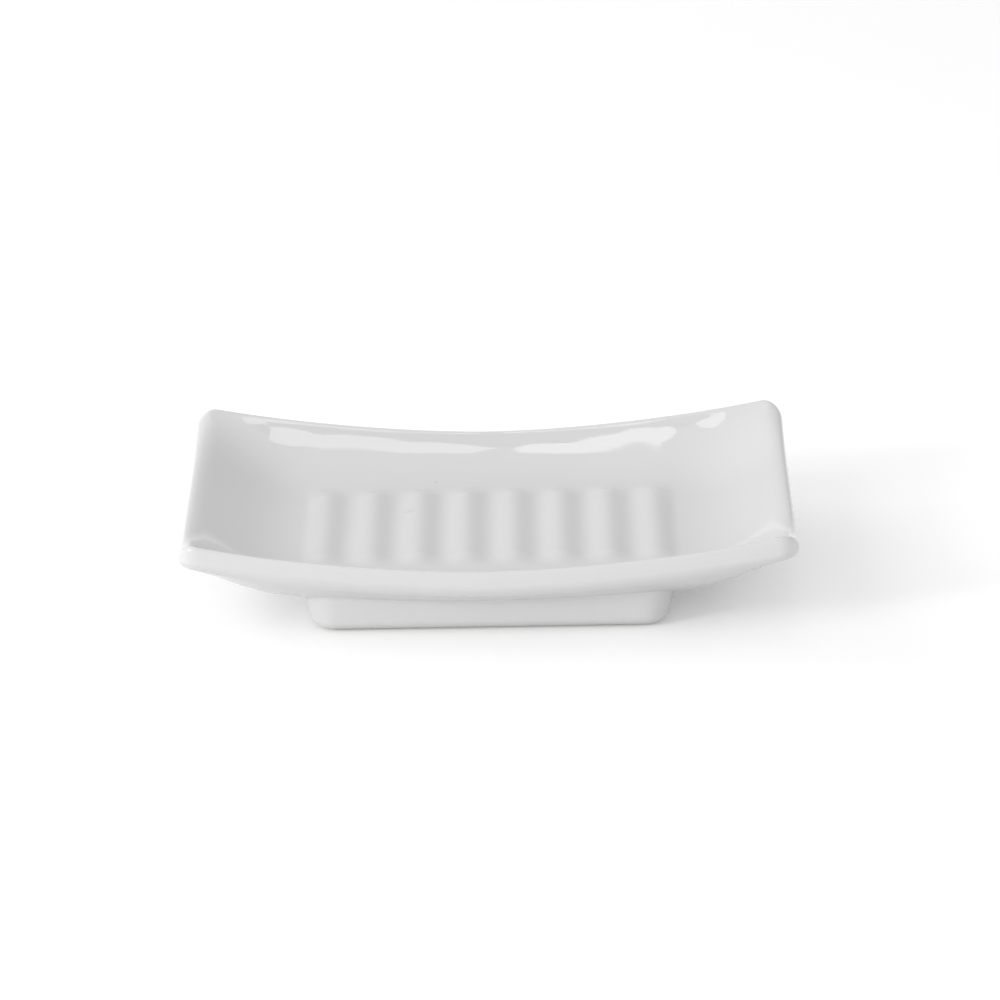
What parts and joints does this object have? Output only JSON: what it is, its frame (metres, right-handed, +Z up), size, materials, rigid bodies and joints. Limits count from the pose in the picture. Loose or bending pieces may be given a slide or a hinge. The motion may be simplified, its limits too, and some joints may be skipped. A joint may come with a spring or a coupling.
{
  "type": "soap dish",
  "caption": "Rectangular glazed ceramic soap dish with swept-up ends, rounded drain ridges on its floor and a hollow foot on small soft pads.",
  "frame": {"origin": "On the table under the middle of the dish", "axes": "+X along the length of the tray, +Y across it from front to back, +Z up"},
  "size_m": [0.13, 0.084, 0.0232],
  "materials": {
    "white_glaze": "glossy white glaze, bare clay under the foot",
    "clear_silicone": "soft, slightly cloudy silicone"
  },
  "bodies": {
    "root": {"tray": "white_glaze", "foot": "white_glaze", "foot_pads": "clear_silicone"}
  },
  "joints": []
}
